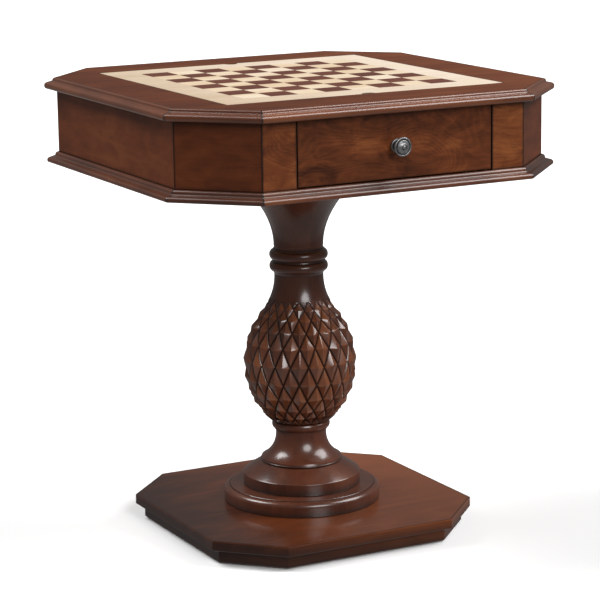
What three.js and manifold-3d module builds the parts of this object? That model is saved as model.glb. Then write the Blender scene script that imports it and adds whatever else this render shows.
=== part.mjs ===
// Pedestal gaming table: an octagonal box top with a lift-out chess board over a shallow well,
// one drawer, and a turned column with a carved pineapple bulb on an octagonal base.
// Millimetres, +Z up. The origin is on the floor, on the column's axis. The drawer opens along -Y.
import * as THREE from "three";
import { mergeVertices } from "three/addons/utils/BufferGeometryUtils.js";
import Module from "manifold-3d";

const wasm = await Module();
wasm.setup();

// ---- Driving dimensions ----
const OVERALL_HALF = 355.6; // half the width over the top moulding
const TABLE_TOP_Z = 772;
const GAP = 0.3; // clearance between pieces that touch or are glued
const BOARD_STOCK = 18; // thickness of the box's solid boards

// Box
const APRON_HALF = 336; // half the width over the apron faces
const APRON_LEG = 101; // how much each corner cut takes off a side
const BOX_BOTTOM_Z = 627.6; // underside of the bottom moulding
const APRON_BOTTOM_Z = 646;
const TOP_UNDER_Z = 753; // underside of the top frame and of the top moulding
const TOP_FRAME_HALF = 337.6;
const BOTTOM_MOLDING_PROUD = 19; // how far the bottom moulding stands out from the apron
const BOTTOM_MOLDING_UNDER = 31; // how far it runs in beneath the apron
const FLOOR_THICKNESS = 12;

// Playing surface and well
const BOARD_HALF = 249.8;
const BOARD_THICKNESS = 11.7;
const BOARD_CLEARANCE = 0.7; // play around the lift-out board
const NOTCH_RADIUS = 12; // finger notches at the board's front and back edges
const WELL_HALF = 238;
const WELL_WALL = 12;
const WELL_FLOOR_Z = 722;
const WELL_FLOOR_THICKNESS = 5.7;

// Drawer
const DRAWER_OPENING_HALF = 176;
const DRAWER_REVEAL = 1.8; // visible gap around the drawer front
const DRAWER_TRAVEL = 280;
const DRAWER_BOX_HALF = 170;
const DRAWER_SIDE = 12;
const DRAWER_BOTTOM = 5;
const DRAWER_SIDE_TOP_Z = 706;
const DRAWER_BACK_Y = 82;
const KNOB_Z = 699.5;
const KNOB_BORE = 2.4;
const GUIDE_WIDTH = 12;
const GUIDE_HEIGHT = 18;
const STOP_WIDTH = 40;
const STOP_HEIGHT = 14;

// Base
const PLINTH_HALF = 233;
const PLINTH_LEG = 84.9;
const PLINTH_TOP_Z = 26.5;
const BASE_HALF = 247.2;
const BASE_LEG = 93.2;
const BASE_TOP_Z = 44;
const GLIDE_HEIGHT = 3;
const GLIDE_PLACE = 175; // glide centres from the middle, along X and Y
const GLIDE_STEM = 3;

// Column
const DISC_RADIUS = 134.5;
const DISC_TOP_Z = 71;
const SHOULDER_RADIUS = 101;
const FOOT_TOP_Z = 166;
const BEAD_RADIUS = 50;
const BULB_RADIUS = 98; // over the tips of the scales
const BULB_MIDDLE_Z = 283;
const BULB_HEIGHT_ABOVE = 122; // half axes of the egg shape, up and down
const BULB_HEIGHT_BELOW = 117;
const SCALE_DEPTH = 7; // from a scale's tip down to the grooves around it
const SCALES_AROUND = 20;
const SCALE_PHASE = 0.42; // how far round the first scale starts, in scales
const SCALE_ROWS_Z = [185.3, 197, 213, 234, 261, 292, 324, 350, 369, 384, 397.5];
const NECK_FLARE_Z = 375; // above this the bulb runs out into the neck's flare
const NECK_TOP_Z = 488;
const NECK_RADIUS = 42;
const RING_RADIUS = 49;
const CAPITAL_RIM_RADIUS = 114;
const ROD_RADIUS = 4.5;
const ROD_HOLE = 6;
const NUT_RECESS = 17;
const MOUNTING_BLOCK_HALF = 130;
const SCREW_PLACE = 104;
const SCREW_RADIUS = 2.2;
const SCREW_HOLE = 2.7;

const TURNED_SIDES = 32;
const HARDWARE_SIDES = 16;
const OCTAGON_LEG_PER_OFFSET = 2 - Math.SQRT2; // an octagon's corner leg grows this much per offset

// ---- Finishes ----
const FINISHES = {
  top_veneer: { color: 0x5c2f1c, roughness: 0.3, metalness: 0 },
  cherry: { color: 0x5a2b19, roughness: 0.32, metalness: 0 },
  figured_veneer: { color: 0x6a3219, roughness: 0.3, metalness: 0 },
  turned_wood: { color: 0x3f221b, roughness: 0.22, metalness: 0 },
  base_wood: { color: 0x542719, roughness: 0.3, metalness: 0 },
  maple_board: { color: 0xd9c19a, roughness: 0.4, metalness: 0 },
  inner_wood: { color: 0xb08a62, roughness: 0.6, metalness: 0 },
  pewter: { color: 0x6b6a6c, roughness: 0.3, metalness: 1 },
  steel: { color: 0x9a9a9a, roughness: 0.4, metalness: 1 },
  plastic: { color: 0x2a2422, roughness: 0.6, metalness: 0 },
};

const table = new THREE.Group();

function add(name, finish, geometry, parent = table) {
  const mesh = new THREE.Mesh(geometry, new THREE.MeshStandardMaterial(FINISHES[finish]));
  mesh.name = name;
  parent.add(mesh);
  return mesh;
}

// A rectangular block between two corners.
function addBlock(name, finish, low, high) {
  const size = high.map((value, i) => value - low[i]);
  const mesh = add(name, finish, new THREE.BoxGeometry(...size));
  mesh.position.set(...low.map((value, i) => value + size[i] / 2));
  return mesh;
}

// ---- Shape helpers ----

// Points along an elliptical arc, angles in degrees.
function arc(centre, radii, from, to, steps) {
  const points = [];
  for (let i = 0; i <= steps; i++) {
    const angle = THREE.MathUtils.degToRad(from + ((to - from) * i) / steps);
    points.push([centre[0] + radii[0] * Math.cos(angle), centre[1] + radii[1] * Math.sin(angle)]);
  }
  return points;
}

// A solid turned about Z. The profile lists [radius, z] anticlockwise, outer side going up.
function turned(profile, sides = TURNED_SIDES) {
  const points = profile.map(([radius, z]) => new THREE.Vector2(radius, z));
  return new THREE.LatheGeometry(points, sides).rotateX(Math.PI / 2);
}

// The same with a round hole up the middle: the profile runs from the hole's foot to its head.
function turnedWithBore(profile, bore, sides) {
  const [bottom, top] = [profile[0][1], profile.at(-1)[1]];
  return turned([[bore, bottom], ...profile, [bore, top], [bore, bottom]], sides);
}

function legAt(half) {
  return APRON_LEG + OCTAGON_LEG_PER_OFFSET * (half - APRON_HALF);
}

// Corners of a square with cut corners, anticlockwise from the front left.
function octagonCorners(half, leg) {
  const near = half - leg;
  return [
    [-near, -half],
    [near, -half],
    [half, -near],
    [half, near],
    [near, half],
    [-near, half],
    [-half, near],
    [-half, -near],
  ];
}

function shapeOf(corners) {
  return new THREE.Shape(corners.map(([x, y]) => new THREE.Vector2(x, y)));
}

function roundHole(shape, radius, x = 0, y = 0) {
  shape.holes.push(new THREE.Path().absarc(x, y, radius, 0, 2 * Math.PI, true));
}

function extruded(shape, bottom, top) {
  const options = { depth: top - bottom, bevelEnabled: false, curveSegments: HARDWARE_SIDES / 2 };
  return new THREE.ExtrudeGeometry(shape, options).translate(0, 0, bottom);
}

// Joins a list of triangles, each three [x, y, z] points, into one geometry.
function fromTriangles(triangles) {
  const positions = new Float32Array(triangles.flat(2));
  const geometry = new THREE.BufferGeometry();
  geometry.setAttribute("position", new THREE.BufferAttribute(positions, 3));
  return geometry;
}

// A bar that follows one side of the octagon, mitred at both ends. Its section lists
// [offset, z] anticlockwise; the offset is outward from the octagon of the apron's face.
function mitredBar(side, section) {
  const ends = section.map(([offset, z]) => {
    const corners = octagonCorners(APRON_HALF + offset, legAt(APRON_HALF + offset));
    const from = new THREE.Vector2(...corners[side]);
    const to = new THREE.Vector2(...corners[(side + 1) % corners.length]);
    const along = to.clone().sub(from).normalize().multiplyScalar(GAP / 2);
    from.add(along);
    to.sub(along);
    return [
      [from.x, from.y, z],
      [to.x, to.y, z],
    ];
  });
  const outline = section.map(([offset, z]) => new THREE.Vector2(offset, z));
  const triangles = [];
  for (const [a, b, c] of THREE.ShapeUtils.triangulateShape(outline, [])) {
    triangles.push([ends[a][0], ends[b][0], ends[c][0]]);
    triangles.push([ends[a][1], ends[c][1], ends[b][1]]);
  }
  ends.forEach(([start, finish], i) => {
    const [nextStart, nextFinish] = ends[(i + 1) % ends.length];
    triangles.push([start, finish, nextStart]);
    triangles.push([nextStart, finish, nextFinish]);
  });
  return fromTriangles(triangles);
}

function rectangle(inner, outer, bottom, top) {
  return [
    [inner, bottom],
    [outer, bottom],
    [outer, top],
    [inner, top],
  ];
}

function solidOf(geometry) {
  const bare = geometry.clone();
  bare.deleteAttribute("normal");
  bare.deleteAttribute("uv");
  const merged = mergeVertices(bare, 1e-4);
  const vertProperties = new Float32Array(merged.attributes.position.array);
  const triVerts = new Uint32Array(merged.index.array);
  return new wasm.Manifold(new wasm.Mesh({ numProp: 3, vertProperties, triVerts }));
}

function geometryOf(solid) {
  const mesh = solid.getMesh();
  const geometry = new THREE.BufferGeometry();
  geometry.setAttribute("position", new THREE.BufferAttribute(mesh.vertProperties, 3));
  geometry.setIndex(new THREE.BufferAttribute(mesh.triVerts, 1));
  return geometry;
}

// ---- Mouldings ----

// The moulded face, from its underside to its top: a rounded nose, a cove and a quarter-round
// bead. Offsets run outward from the face that the moulding is planted on. The nose's underside
// and the bead are rounded to a share of the height.
function mouldedFace(width, height, underShare, beadShare) {
  const bead = beadShare * height;
  const noseUnder = underShare * height;
  const noseMiddle = noseUnder + 0.09 * height;
  const noseTop = noseUnder + 0.37 * height;
  const noseDepth = 0.44 * width;
  const beadDepth = 1 + bead;
  return [
    ...arc([width - noseUnder, noseUnder], [noseUnder, noseUnder], -90, 0, 4),
    ...arc([width - noseDepth, noseMiddle], [noseDepth, noseTop - noseMiddle], 0, 90, 5),
    ...arc([width - noseDepth, height - bead], [width - noseDepth - beadDepth, height - bead - noseTop], 260, 180, 4),
    ...arc([1, height - bead], [bead, bead], 12, 90, 4),
  ];
}

const SIDE_NAMES = [
  "front",
  "front_right",
  "right",
  "back_right",
  "back",
  "back_left",
  "left",
  "front_left",
];

function addMouldings() {
  const topFace = TOP_FRAME_HALF + GAP - APRON_HALF;
  const topHeight = TABLE_TOP_Z - TOP_UNDER_Z;
  const topSection = [
    [topFace, TOP_UNDER_Z],
    ...mouldedFace(OVERALL_HALF - APRON_HALF - topFace, topHeight, 0.28, 0.18).map(
      ([offset, z]) => [topFace + offset, TOP_UNDER_Z + z],
    ),
    [topFace, TABLE_TOP_Z],
  ];
  const bottomHeight = APRON_BOTTOM_Z - GAP - BOX_BOTTOM_Z;
  const bottomSection = [
    [-BOTTOM_MOLDING_UNDER, BOX_BOTTOM_Z],
    ...mouldedFace(BOTTOM_MOLDING_PROUD, bottomHeight, 0.17, 0.28).map(([offset, z]) => [
      offset,
      BOX_BOTTOM_Z + z,
    ]),
    [-BOTTOM_MOLDING_UNDER, BOX_BOTTOM_Z + bottomHeight],
  ];
  SIDE_NAMES.forEach((name, side) => {
    add("top_molding_" + name, "cherry", mitredBar(side, topSection));
    add("bottom_molding_" + name, "cherry", mitredBar(side, bottomSection));
  });
}

// ---- Box ----

function addApron() {
  const section = rectangle(-BOARD_STOCK, 0, APRON_BOTTOM_Z, TOP_UNDER_Z - GAP);
  SIDE_NAMES.forEach((name, side) => {
    if (name === "front") return;
    const prefix = name.includes("_") ? "corner_board_" : "apron_";
    add(prefix + name, "cherry", mitredBar(side, section));
  });
  // The front is two stiles, mitred to the corner boards and square at the drawer.
  const inner = octagonCorners(APRON_HALF - BOARD_STOCK, legAt(APRON_HALF - BOARD_STOCK))[1];
  const outer = octagonCorners(APRON_HALF, APRON_LEG)[1];
  for (const [name, sign] of [["left", -1], ["right", 1]]) {
    const corners = [
      [DRAWER_OPENING_HALF, outer[1]],
      [outer[0] - GAP / 2, outer[1]],
      [inner[0] - GAP / 2, inner[1]],
      [DRAWER_OPENING_HALF, inner[1]],
    ].map(([x, y]) => [sign * x, y]);
    if (sign < 0) corners.reverse();
    const geometry = extruded(shapeOf(corners), APRON_BOTTOM_Z, TOP_UNDER_Z - GAP);
    add("front_stile_" + name, "figured_veneer", geometry);
  }
}

const screwPlaces = [
  ["front_left", -SCREW_PLACE, -SCREW_PLACE],
  ["front_right", SCREW_PLACE, -SCREW_PLACE],
  ["back_right", SCREW_PLACE, SCREW_PLACE],
  ["back_left", -SCREW_PLACE, SCREW_PLACE],
];
const BOX_FLOOR_TOP_Z = APRON_BOTTOM_Z + FLOOR_THICKNESS;

function addBoxFloor() {
  const half = APRON_HALF - BOARD_STOCK - GAP;
  const floor = shapeOf(octagonCorners(half, legAt(half)));
  roundHole(floor, NUT_RECESS);
  screwPlaces.forEach(([, x, y]) => roundHole(floor, SCREW_HOLE, x, y));
  add("box_floor", "inner_wood", extruded(floor, APRON_BOTTOM_Z, BOX_FLOOR_TOP_Z));
}

function addTopFrame() {
  const slab = shapeOf(octagonCorners(TOP_FRAME_HALF, legAt(TOP_FRAME_HALF)));
  const recess = BOARD_HALF + BOARD_CLEARANCE;
  const ledge = TABLE_TOP_Z - BOARD_THICKNESS - GAP;
  const above = new THREE.BoxGeometry(2 * recess, 2 * recess, 2 * (TABLE_TOP_Z - ledge));
  above.translate(0, 0, TABLE_TOP_Z);
  const through = new THREE.BoxGeometry(2 * WELL_HALF, 2 * WELL_HALF, TABLE_TOP_Z);
  through.translate(0, 0, TABLE_TOP_Z);
  const frame = solidOf(extruded(slab, TOP_UNDER_Z, TABLE_TOP_Z))
    .subtract(solidOf(above))
    .subtract(solidOf(through));
  add("top_frame", "top_veneer", geometryOf(frame));
}

function square(half) {
  return [
    [-half, -half],
    [half, -half],
    [half, half],
    [-half, half],
  ];
}

function addWell() {
  const walls = shapeOf(square(WELL_HALF + WELL_WALL));
  walls.holes.push(shapeOf(square(WELL_HALF).reverse()));
  add("well_frame", "cherry", extruded(walls, WELL_FLOOR_Z + GAP, TOP_UNDER_Z - GAP));
  const floor = shapeOf(square(WELL_HALF + WELL_WALL));
  const underside = WELL_FLOOR_Z - WELL_FLOOR_THICKNESS;
  add("well_floor", "figured_veneer", extruded(floor, underside, WELL_FLOOR_Z));
}

function addGameBoard() {
  const outline = new THREE.Shape();
  outline.moveTo(-BOARD_HALF, -BOARD_HALF);
  outline.lineTo(-NOTCH_RADIUS, -BOARD_HALF);
  outline.absarc(0, -BOARD_HALF, NOTCH_RADIUS, Math.PI, 0, true);
  outline.lineTo(BOARD_HALF, -BOARD_HALF);
  outline.lineTo(BOARD_HALF, BOARD_HALF);
  outline.lineTo(NOTCH_RADIUS, BOARD_HALF);
  outline.absarc(0, BOARD_HALF, NOTCH_RADIUS, 0, -Math.PI, true);
  outline.lineTo(-BOARD_HALF, BOARD_HALF);
  outline.closePath();
  const geometry = extruded(outline, TABLE_TOP_Z - BOARD_THICKNESS, TABLE_TOP_Z);
  add("game_board", "maple_board", geometry);
}

// ---- Drawer ----

// A panel that stands facing -Y, between two depths, with a round hole at [0, holeZ].
function uprightPanel(halfWidth, bottom, top, front, back, holeZ) {
  const face = shapeOf([
    [-halfWidth, bottom],
    [halfWidth, bottom],
    [halfWidth, top],
    [-halfWidth, top],
  ]);
  roundHole(face, KNOB_BORE, 0, holeZ);
  return extruded(face, -back, -front).rotateX(Math.PI / 2);
}

function addDrawer() {
  const frontInside = -APRON_HALF + BOARD_STOCK;
  const inside = DRAWER_BOX_HALF - DRAWER_SIDE - GAP;
  const sideBottom = BOX_FLOOR_TOP_Z + 1;
  const panelBottom = sideBottom + 5;
  const panelTop = panelBottom + DRAWER_BOTTOM;
  const front = uprightPanel(
    DRAWER_OPENING_HALF - DRAWER_REVEAL,
    APRON_BOTTOM_Z - GAP + DRAWER_REVEAL,
    TOP_UNDER_Z - 1.2,
    -APRON_HALF,
    frontInside,
    KNOB_Z,
  );
  add("drawer_front", "figured_veneer", front);
  for (const [name, sign] of [["left", -1], ["right", 1]]) {
    const across = [sign * (DRAWER_BOX_HALF - DRAWER_SIDE), sign * DRAWER_BOX_HALF];
    across.sort((a, b) => a - b);
    addBlock(
      "drawer_side_" + name,
      "inner_wood",
      [across[0], frontInside + GAP, sideBottom],
      [across[1], DRAWER_BACK_Y, DRAWER_SIDE_TOP_Z],
    );
    const guide = [sign * (DRAWER_BOX_HALF + 1.5), sign * (DRAWER_BOX_HALF + 1.5 + GUIDE_WIDTH)];
    guide.sort((a, b) => a - b);
    addBlock(
      "drawer_guide_" + name,
      "inner_wood",
      [guide[0], frontInside + 8, BOX_FLOOR_TOP_Z + GAP],
      [guide[1], DRAWER_BACK_Y + 118, BOX_FLOOR_TOP_Z + GAP + GUIDE_HEIGHT],
    );
  }
  addBlock(
    "drawer_bottom",
    "inner_wood",
    [-inside, frontInside + GAP, panelBottom],
    [inside, DRAWER_BACK_Y, panelTop],
  );
  addBlock(
    "drawer_back",
    "inner_wood",
    [-inside, DRAWER_BACK_Y - DRAWER_SIDE, panelTop + GAP],
    [inside, DRAWER_BACK_Y, DRAWER_SIDE_TOP_Z],
  );
  // The stop hangs from the well and meets the drawer's back at full travel.
  const stopBack = DRAWER_BACK_Y - DRAWER_SIDE - DRAWER_TRAVEL - GAP;
  const stopTop = WELL_FLOOR_Z - WELL_FLOOR_THICKNESS - GAP;
  addBlock(
    "drawer_stop",
    "inner_wood",
    [-STOP_WIDTH / 2, stopBack - DRAWER_SIDE, stopTop - STOP_HEIGHT],
    [STOP_WIDTH / 2, stopBack, stopTop],
  );
}

// The knob is turned about its own axis, which points out of the drawer along -Y.
function addKnob() {
  const knob = new THREE.Group();
  knob.position.set(0, -APRON_HALF - GAP, KNOB_Z);
  knob.rotation.x = Math.PI / 2;
  table.add(knob);
  const bore = 9;
  const profile = [
    [0, bore],
    [KNOB_BORE, bore],
    [KNOB_BORE, 0],
    [10.4, 0],
    ...arc([9.4, 2.2], [2, 2], -60, 60, 3),
    [7.6, 4.4],
    ...arc([11.6, 8.2], [5.6, 3.8], 220, 130, 3),
    [14.2, 16.4],
    ...arc([13.9, 19], [1.6, 2.6], -60, 90, 5),
    [12.4, 20.6],
    ...arc([0, 18.6], [11.6, 7.2], 18, 90, 5),
  ];
  add("knob", "pewter", turned(profile, 24), knob);
  const seat = -BOARD_STOCK - 2 * GAP; // the screw's head rests inside the drawer front
  const screw = [
    [0, seat - 3],
    [4, seat - 3],
    [4.6, seat - 1.4],
    [4.6, seat],
    [KNOB_BORE - GAP, seat],
    [KNOB_BORE - GAP, bore - 1],
    [0, bore - 1],
  ];
  add("knob_screw", "steel", turned(screw, HARDWARE_SIDES), knob);
}

// ---- Base ----

function addBase() {
  const plinth = shapeOf(octagonCorners(PLINTH_HALF, PLINTH_LEG));
  roundHole(plinth, NUT_RECESS);
  const glides = new THREE.Group();
  table.add(glides);
  for (const [name, x, y] of [
    ["front_left", -GLIDE_PLACE, -GLIDE_PLACE],
    ["front_right", GLIDE_PLACE, -GLIDE_PLACE],
    ["back_right", GLIDE_PLACE, GLIDE_PLACE],
    ["back_left", -GLIDE_PLACE, GLIDE_PLACE],
  ]) {
    roundHole(plinth, GLIDE_STEM + GAP, x, y);
    const profile = [
      [0, 0],
      [10, 0],
      [11, 1],
      [11, GLIDE_HEIGHT],
      [GLIDE_STEM, GLIDE_HEIGHT],
      [GLIDE_STEM, 14],
      [0, 14],
    ];
    add("glide_" + name, "plastic", turned(profile, HARDWARE_SIDES), glides).position.set(x, y, 0);
  }
  add("plinth", "base_wood", extruded(plinth, GLIDE_HEIGHT + GAP, PLINTH_TOP_Z - GAP));
  const plate = shapeOf(octagonCorners(BASE_HALF, BASE_LEG));
  roundHole(plate, ROD_HOLE);
  add("base_plate", "base_wood", extruded(plate, PLINTH_TOP_Z, BASE_TOP_Z));
}

// ---- Column ----

// Points from one end of a line to the other, swelling outward by a height at its middle.
function bowed(start, end, swell, steps) {
  const along = [end[0] - start[0], end[1] - start[1]];
  const length = Math.hypot(...along);
  const points = [];
  for (let step = 0; step <= steps; step++) {
    const t = step / steps;
    const out = (4 * swell * t * (1 - t)) / length;
    points.push([
      start[0] + along[0] * t + along[1] * out,
      start[1] + along[1] * t - along[0] * out,
    ]);
  }
  return points;
}

function addFoot() {
  const discEdge = 9;
  const quirk = DISC_RADIUS - discEdge - 1.5;
  const disc = [
    [DISC_RADIUS, BASE_TOP_Z + GAP],
    ...arc([DISC_RADIUS - discEdge, DISC_TOP_Z - 1.5 - discEdge], [discEdge, discEdge], 0, 90, 4),
    [quirk, DISC_TOP_Z - 1.5],
    [quirk, DISC_TOP_Z],
  ];
  add("pedestal_disc", "turned_wood", turnedWithBore(disc, ROD_HOLE));
  const rimTop = 93;
  const lipRadius = 70.5;
  const lipBottom = 112;
  const swell = 0.8;
  const waist = 43.5;
  const bell = 46;
  const foot = [
    [SHOULDER_RADIUS, DISC_TOP_Z + GAP],
    ...bowed([SHOULDER_RADIUS, rimTop], [lipRadius - 1.5, lipBottom], swell, 3),
    [lipRadius, lipBottom + 1],
    [lipRadius, lipBottom + 3],
    ...arc([waist + bell, 159.5], [bell, bell], 243, 180, 7),
    [waist, FOOT_TOP_Z],
  ];
  add("pedestal_foot", "turned_wood", turnedWithBore(foot, ROD_HOLE));
  const beadHalf = (SCALE_ROWS_Z[0] - FOOT_TOP_Z) / 2 - GAP;
  const beadCentre = [waist, FOOT_TOP_Z + GAP + beadHalf];
  const bead = arc(beadCentre, [BEAD_RADIUS - waist, beadHalf], -90, 90, 8);
  add("bead_ring", "turned_wood", turnedWithBore(bead, ROD_HOLE));
}

// Radius over the scale tips: an egg shape that runs out into the neck's flare.
function bulbRadius(z) {
  const halfAxis = z > BULB_MIDDLE_Z ? BULB_HEIGHT_ABOVE : BULB_HEIGHT_BELOW;
  const reach = Math.min(1, Math.abs(z - BULB_MIDDLE_Z) / halfAxis);
  const egg = BULB_RADIUS * Math.sqrt(1 - reach * reach);
  return z > NECK_FLARE_Z ? Math.max(egg, neckRadius(z)) : egg;
}

function neckRadius(z) {
  return NECK_RADIUS + 0.00096 * Math.max(0, 441 - z) ** 2.4;
}

// Rows of four-sided pyramids. Each level's corners sit half a step round from the last level's.
function bulbGeometry() {
  const last = SCALE_ROWS_Z.length - 1;
  const step = (2 * Math.PI) / SCALES_AROUND;
  const place = (radius, turns, z) => [
    radius * Math.cos((turns + SCALE_PHASE) * step),
    radius * Math.sin((turns + SCALE_PHASE) * step),
    z,
  ];
  const shift = (level) => (level % 2) / 2;
  const grooveRadius = (level) => {
    const depth = level === 0 || level === last ? 1 : SCALE_DEPTH;
    return bulbRadius(SCALE_ROWS_Z[level]) - depth;
  };
  const corner = (level, i) =>
    place(grooveRadius(level), i + shift(level), SCALE_ROWS_Z[level]);
  const bore = (level, i) => place(ROD_HOLE, i, SCALE_ROWS_Z[level]);
  const triangles = [];
  for (let i = 0; i < SCALES_AROUND; i++) {
    for (let level = 1; level < last; level++) {
      const middle = i + 0.5 + shift(level);
      const beside = i + (level % 2);
      const tip = place(bulbRadius(SCALE_ROWS_Z[level]), middle, SCALE_ROWS_Z[level]);
      const around = [
        corner(level, i),
        corner(level - 1, beside),
        corner(level, i + 1),
        corner(level + 1, beside),
      ];
      around.forEach((point, k) => triangles.push([point, around[(k + 1) % 4], tip]));
    }
    triangles.push([corner(0, i), corner(0, i + 1), corner(1, i)]);
    triangles.push([corner(last, i + 1), corner(last, i), corner(last - 1, i)]);
    triangles.push([corner(0, i), bore(0, i), corner(0, i + 1)]);
    triangles.push([corner(0, i + 1), bore(0, i), bore(0, i + 1)]);
    triangles.push([corner(last, i), corner(last, i + 1), bore(last, i)]);
    triangles.push([corner(last, i + 1), bore(last, i + 1), bore(last, i)]);
    triangles.push([bore(0, i), bore(last, i), bore(0, i + 1)]);
    triangles.push([bore(0, i + 1), bore(last, i), bore(last, i + 1)]);
  }
  return fromTriangles(triangles);
}

function addNeckAndCapital() {
  const neckBottom = SCALE_ROWS_Z.at(-1) + GAP;
  const profile = [];
  for (let z = neckBottom; z < 441; z += 8) {
    profile.push([neckRadius(z), z]);
  }
  const ringBulge = RING_RADIUS - NECK_RADIUS - 2;
  for (const ringZ of [452.6, 472.4]) {
    profile.push(...arc([NECK_RADIUS + 2, ringZ], [ringBulge, 9.2], -90, 90, 6));
  }
  profile.push([NECK_RADIUS, 483], [NECK_RADIUS, NECK_TOP_Z]);
  add("pedestal_neck", "turned_wood", turnedWithBore(profile, ROD_HOLE));

  const rimBottom = 606;
  const capital = [];
  for (let step = 0; step <= 8; step++) {
    const z = THREE.MathUtils.lerp(NECK_TOP_Z + GAP, rimBottom, step / 8);
    capital.push([NECK_RADIUS + 0.4 + 0.0047 * (z - NECK_TOP_Z) ** 2, z]);
  }
  capital.push([CAPITAL_RIM_RADIUS, rimBottom + 2], [CAPITAL_RIM_RADIUS, BOX_BOTTOM_Z - GAP]);
  add("capital", "turned_wood", turnedWithBore(capital, ROD_HOLE));
}

// ---- Tie rod, nuts, mounting block and its screws ----

function addHardware() {
  const blockTop = APRON_BOTTOM_Z - GAP;
  const block = shapeOf(square(MOUNTING_BLOCK_HALF));
  roundHole(block, ROD_HOLE);
  screwPlaces.forEach(([, x, y]) => roundHole(block, SCREW_HOLE, x, y));
  add("mounting_block", "inner_wood", extruded(block, BOX_BOTTOM_Z, blockTop));

  const screw = [
    [0, -2.8],
    [3.4, -2.8],
    [5, -1],
    [5, -GAP],
    [SCREW_RADIUS, -GAP],
    [SCREW_RADIUS, 23],
    [0, 26],
  ];
  screwPlaces.forEach(([name, x, y]) => {
    const mesh = add("mounting_screw_" + name, "steel", turned(screw, HARDWARE_SIDES));
    mesh.position.set(x, y, BOX_BOTTOM_Z);
  });

  // A hexagonal nut on its own flange. Its six-sided bore clears the round rod at its flats.
  const nutHeight = 7;
  const nutBore = (ROD_RADIUS + GAP) / Math.cos(Math.PI / 6);
  const nut = [
    [nutBore, 0],
    [12, 0],
    [12, 1.6],
    [8, 1.6],
    [8, nutHeight],
    [nutBore, nutHeight],
    [nutBore, 0],
  ];
  const topNut = add("rod_nut_top", "steel", turned(nut, 6));
  topNut.position.z = blockTop + GAP;
  const bottomNut = add("rod_nut_bottom", "steel", turned(nut, 6));
  bottomNut.rotation.x = Math.PI;
  bottomNut.position.z = PLINTH_TOP_Z - GAP;

  const rodBottom = PLINTH_TOP_Z - GAP - nutHeight - 2;
  const rodTop = blockTop + GAP + nutHeight + 2;
  const rod = [
    [0, rodBottom],
    [ROD_RADIUS, rodBottom],
    [ROD_RADIUS, rodTop],
    [0, rodTop],
  ];
  add("tie_rod", "steel", turned(rod, HARDWARE_SIDES));
}

addBase();
addFoot();
add("pineapple_bulb", "turned_wood", bulbGeometry());
addNeckAndCapital();
addHardware();
addBoxFloor();
addApron();
addMouldings();
addTopFrame();
addWell();
addGameBoard();
addDrawer();
addKnob();

export default table;
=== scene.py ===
"""Looks of a pedestal gaming table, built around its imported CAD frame.

Everything is in metres in the frame's own axes: +Z up, the drawer opens along -Y. Sections and
profiles are written in millimetres and scaled by MM.
"""

import math
import random
from itertools import product

import bmesh
import bpy
import numpy as np
from mathutils import Matrix, Vector
from mathutils.geometry import tessellate_polygon


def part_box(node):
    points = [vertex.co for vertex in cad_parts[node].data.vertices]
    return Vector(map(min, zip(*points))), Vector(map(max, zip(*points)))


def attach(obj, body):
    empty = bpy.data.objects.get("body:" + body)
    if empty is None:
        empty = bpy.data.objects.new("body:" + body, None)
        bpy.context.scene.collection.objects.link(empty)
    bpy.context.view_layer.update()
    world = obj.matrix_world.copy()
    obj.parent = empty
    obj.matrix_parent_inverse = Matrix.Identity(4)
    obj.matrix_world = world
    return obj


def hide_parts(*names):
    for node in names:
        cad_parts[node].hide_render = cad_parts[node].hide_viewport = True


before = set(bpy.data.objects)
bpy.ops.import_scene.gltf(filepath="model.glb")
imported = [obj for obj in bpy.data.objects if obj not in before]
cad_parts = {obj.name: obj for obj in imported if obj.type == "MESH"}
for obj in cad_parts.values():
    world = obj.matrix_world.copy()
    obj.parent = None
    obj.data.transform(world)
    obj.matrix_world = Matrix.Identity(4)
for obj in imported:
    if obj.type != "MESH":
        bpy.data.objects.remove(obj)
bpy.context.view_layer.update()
MM = 0.001


def in_mm(box):
    """A box's low and high corners in millimetres."""
    return tuple(corner / MM for corner in box)


# ---- camera, light and floor


# Fitted on the photo, in degrees: where the camera stands round its target, and how it turns.
CAMERA_AZIMUTH, CAMERA_ELEVATION = -27.55, 11.99
CAMERA_YAW, CAMERA_PITCH, CAMERA_ROLL = -27.57, 12.11, -0.82
CAMERA_TARGET = Vector((0, 0, 0.4))
CAMERA_DISTANCE = 4.1
CAMERA_LENS = 144.09
SENSOR_WIDTH = 36
SUN_DISTANCE = 4
WORLD_STRENGTH = 0.13
FLOOR_SIZE = 400


def direction(azimuth, elevation):
    """The unit vector at two angles in degrees; azimuth 0 is the table's front."""
    turn, lift = math.radians(azimuth), math.radians(elevation)
    return Vector(
        (math.sin(turn) * math.cos(lift), -math.cos(turn) * math.cos(lift), math.sin(lift))
    )


def add_camera():
    yaw, roll = math.radians(CAMERA_YAW), math.radians(CAMERA_ROLL)
    back = direction(CAMERA_YAW, CAMERA_PITCH)
    level = Vector((math.cos(yaw), math.sin(yaw), 0))
    upward = back.cross(level)
    right = level * math.cos(roll) + upward * math.sin(roll)
    up = upward * math.cos(roll) - level * math.sin(roll)
    data = bpy.data.cameras.new("camera")
    data.lens = CAMERA_LENS
    data.sensor_width = SENSOR_WIDTH
    camera = bpy.data.objects.new("camera", data)
    bpy.context.scene.collection.objects.link(camera)
    place = CAMERA_TARGET + direction(CAMERA_AZIMUTH, CAMERA_ELEVATION) * CAMERA_DISTANCE
    axes = Matrix((right, up, back)).transposed().to_4x4()
    camera.matrix_world = Matrix.Translation(place) @ axes
    bpy.context.scene.camera = camera


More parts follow.
